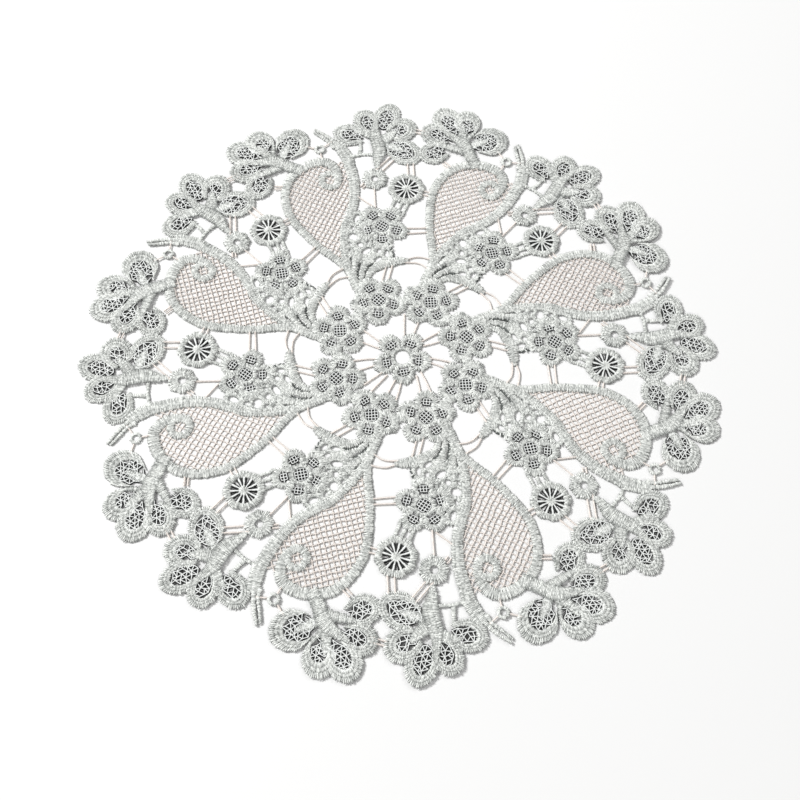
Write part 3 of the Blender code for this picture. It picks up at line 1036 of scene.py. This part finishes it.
# height and pitch of the filling, and of the mat under it, coloured all in painted shade so that
# the gaps between its stitches read dark
GROUND_MAT = (0.95, 0.66)
UNDER_MAT = (0.6, 1.1)
# x, y and width
BRIDES = (
    ((-12.0, 118.0, 1.6), (-6.0, 118.9, 1.3), (0.6, 118.6, 1.6)),
    ((-5.9, 119.2, 1.7), (-5.2, 123.0, 1.5), (-5.0, 127.5, 1.9)),
    ((5.2, 83.2, 1.5), (7.6, 87.4, 1.3), (9.8, 91.2, 1.6)),
    ((8.2, 81.6, 1.5), (10.4, 85.0, 1.3), (12.6, 88.2, 1.6)),
    ((10.8, 79.4, 1.5), (13.0, 83.4, 1.3), (15.2, 87.4, 1.6)),
)
BRIDE_HEIGHT = 0.85
EYELET_WIDTH = 1.15
EYELET_HEIGHT = 0.98
EYELET_PITCH = 0.62
EYELET_TEETH = (0.05, 0.3)


def mat(edge, turn, height, pitch):
    """Filling stitch inside an outline, worked round the holes left in it. Its rows are
    staggered like bricks."""
    edge = np.asarray(edge, float)
    turn = math.radians(turn)
    way = np.array([math.cos(turn), math.sin(turn)])
    side = np.array([-way[1], way[0]])
    reach = np.linalg.norm(edge - edge.mean(0), axis=1).max()
    rows, places = np.arange(-reach, reach, pitch), np.arange(-reach, reach, GROUND_LENGTH)
    stagger = draw.random((len(rows), 1))
    stagger = stagger + draw.uniform(-GROUND_STAGGER, GROUND_STAGGER, (len(rows), len(places)))
    along = places + GROUND_LENGTH * stagger
    beside = rows[:, None] + draw.normal(0, GROUND_WANDER, along.shape)
    centres = edge.mean(0) + along[..., None] * way + beside[..., None] * side
    centres = centres.reshape(-1, 2)
    kept = inside(centres, edge)
    for hole in HOLES:
        c, s = math.cos(math.radians(hole.turn)), math.sin(math.radians(hole.turn))
        x, y = (centres - (hole.x, hole.y)).T
        ahead = (x * c + y * s) / (hole.long + HOLE_CLEAR)
        kept &= np.hypot(ahead, (y * c - x * s) / (hole.wide + HOLE_CLEAR)) > 1
    centres = centres[kept]
    lean = way + draw.uniform(-GROUND_LEAN, GROUND_LEAN, (len(centres), 1)) * side
    widths = [np.full((len(centres), 1), GROUND_FULL * pitch)] * 2
    half = GROUND_LAP * GROUND_LENGTH * lean
    heights = np.full((len(centres), 1), height)
    return stitches(centres - half, centres + half, widths, heights, (GROUND_DIP, GROUND_DIP))


def eyelet(hole):
    """Satin worked round the edge of a hole in the ground."""
    t = ring_turns(math.pi * (hole.long + hole.wide + EYELET_WIDTH), EYELET_PITCH)
    c, s = math.cos(math.radians(hole.turn)), math.sin(math.radians(hole.turn))
    edges = []
    for grow in (0, EYELET_WIDTH):
        x, y = (hole.long + grow) * np.cos(t), (hole.wide + grow) * np.sin(t)
        edges.append(np.column_stack([hole.x + x * c - y * s, hole.y + x * s + y * c]))
    return satin(*edges, EYELET_HEIGHT, tooth=EYELET_TEETH, dip=(0, GROUND_DIP), joined=True)


under = mat(GROUND_EDGE, GROUND_TURN + 90, *UNDER_MAT)
ground_work = [
    mat(GROUND_EDGE, GROUND_TURN, *GROUND_MAT),
    # the mat under the filling, all in painted shade
    under._replace(crest=0 * under.crest - GAP_PAINTED_SHADE),
    *(eyelet(hole) for hole in HOLES),
    *(band(rows, BRIDE_HEIGHT) for rows in BRIDES),
]
satin_ground = piece("satin_ground", whole(ground_work), satin_material)
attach(satin_ground, "root")
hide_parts("lace_doily")


# Middle spokes. Eight pairs of wrapped thread across the open ring between the middle
# flower and the flowers about it, none quite even.

# in degrees: where a pair leaves the middle flower, where it ends, and how far it opens
Spoke = namedtuple("Spoke", "inner outer lean")
MIDDLE_SPOKES = (
    Spoke(68, 70, 20), Spoke(30, 24, 12), Spoke(-13, -18, 10), Spoke(-55, -68, 14),
    Spoke(-105, -111, 13), Spoke(-140, -142, 12), Spoke(-175, -175, 14), Spoke(143, 143, 15),
)
SPOKE_INNER = 11.5
SPOKE_OUTER = 23.0
SPOKE_SAG = 0.3
SPOKE_WAIST = -0.1

crossing = []
for spoke in MIDDLE_SPOKES:
    for half in (-0.5, 0.5):
        ends = []
        for angle, far in ((spoke.inner, SPOKE_INNER), (spoke.outer, SPOKE_OUTER)):
            a = math.radians(angle + half * spoke.lean)
            ends.append((far * math.cos(a), far * math.sin(a), BAR_WIDTH))
        sag = (*draw.uniform(-SPOKE_SAG, SPOKE_SAG, 2), SPOKE_WAIST)
        crossing.append(wrapped([ends[0], np.mean(ends, axis=0) + sag, ends[1]]))
middle_spokes = piece("middle_spokes", whole(crossing, [0]), net_material)
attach(middle_spokes, "root")
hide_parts("lace_doily")


# Table top. A plain pale board, larger than the view, that the doily is laid on. It isn't
# part of the doily.

TABLE_HALF = 3.0
TABLE_PALE = (0.86, 0.86, 0.855, 1)
TABLE_ROUGH = 0.8

corners = [(x * TABLE_HALF, y * TABLE_HALF, 0) for x, y in ((-1, -1), (1, -1), (1, 1), (-1, 1))]
table_mesh = bpy.data.meshes.new("table_top")
table_mesh.from_pydata(corners, [], [(0, 1, 2, 3)])
table_top = bpy.data.objects.new("table_top", table_mesh)
bpy.context.scene.collection.objects.link(table_top)
table_material = bpy.data.materials.new("table_top")
table_material.use_nodes = True
table_shader = table_material.node_tree.nodes["Principled BSDF"]
table_shader.inputs["Base Color"].default_value = TABLE_PALE
table_shader.inputs["Roughness"].default_value = TABLE_ROUGH
table_mesh.materials.append(table_material)


# Light. One large soft window lamp high on the left and three fainter ones all round, far
# enough off to light the table evenly, with a little pale light from everywhere.

Lamp = namedtuple("Lamp", "name place size power")
LAMPS = (
    Lamp("window", (-1.8, 1.35, 1.8), 0.75, 94),
    Lamp("far_fill", (2.25, 1.5, 2.0), 1.5, 22.5),
    Lamp("near_fill", (1.4, -2.4, 2.0), 1.5, 22.5),
    Lamp("side_fill", (-2.25, -1.5, 2.0), 1.5, 22.5),
)
STUDIO_GLOW = 0.14

for lamp in LAMPS:
    light = bpy.data.lights.new(lamp.name, "AREA")
    light.shape = "DISK"
    light.size = lamp.size
    light.energy = lamp.power
    made = bpy.data.objects.new(lamp.name, light)
    made.location = lamp.place
    made.rotation_euler = Vector(lamp.place).to_track_quat("Z", "Y").to_euler()
    bpy.context.scene.collection.objects.link(made)

world = bpy.data.worlds.new("studio")
world.use_nodes = True
world.node_tree.nodes["Background"].inputs["Color"].default_value = (1, 1, 1, 1)
world.node_tree.nodes["Background"].inputs["Strength"].default_value = STUDIO_GLOW
bpy.context.scene.world = world


# Camera. It looks down at the whole doily from the front, steeply enough to show the lace
# almost round, and is a little turned and rolled.

LENS = 43.865
SENSOR = 36
TILT = 66.1234
ROLL = 4.6462
TURN = -11.85
FROM_MIDDLE = Vector((0.000943, -0.019848, 0.4614))

tilt, roll = math.radians(TILT), math.radians(ROLL)
level = Matrix((
    (1, 0, 0),
    (0, -math.sin(tilt), -math.cos(tilt)),
    (0, math.cos(tilt), -math.sin(tilt)),
))
seen = Matrix.Rotation(roll, 3, "Z") @ level
turned = Matrix.Rotation(math.radians(TURN), 3, "Z")
camera = bpy.data.objects.new("camera", bpy.data.cameras.new("camera"))
camera.data.lens = LENS
camera.data.sensor_width = SENSOR
camera.data.clip_start = 0.01
place = (turned @ seen.transposed() @ Matrix.Diagonal((1, -1, -1))).to_4x4()
place.translation = turned @ (-(seen.transposed() @ FROM_MIDDLE))
camera.matrix_world = place
bpy.context.scene.collection.objects.link(camera)
bpy.context.scene.camera = camera
bpy.context.scene.view_settings.view_transform = "Standard"
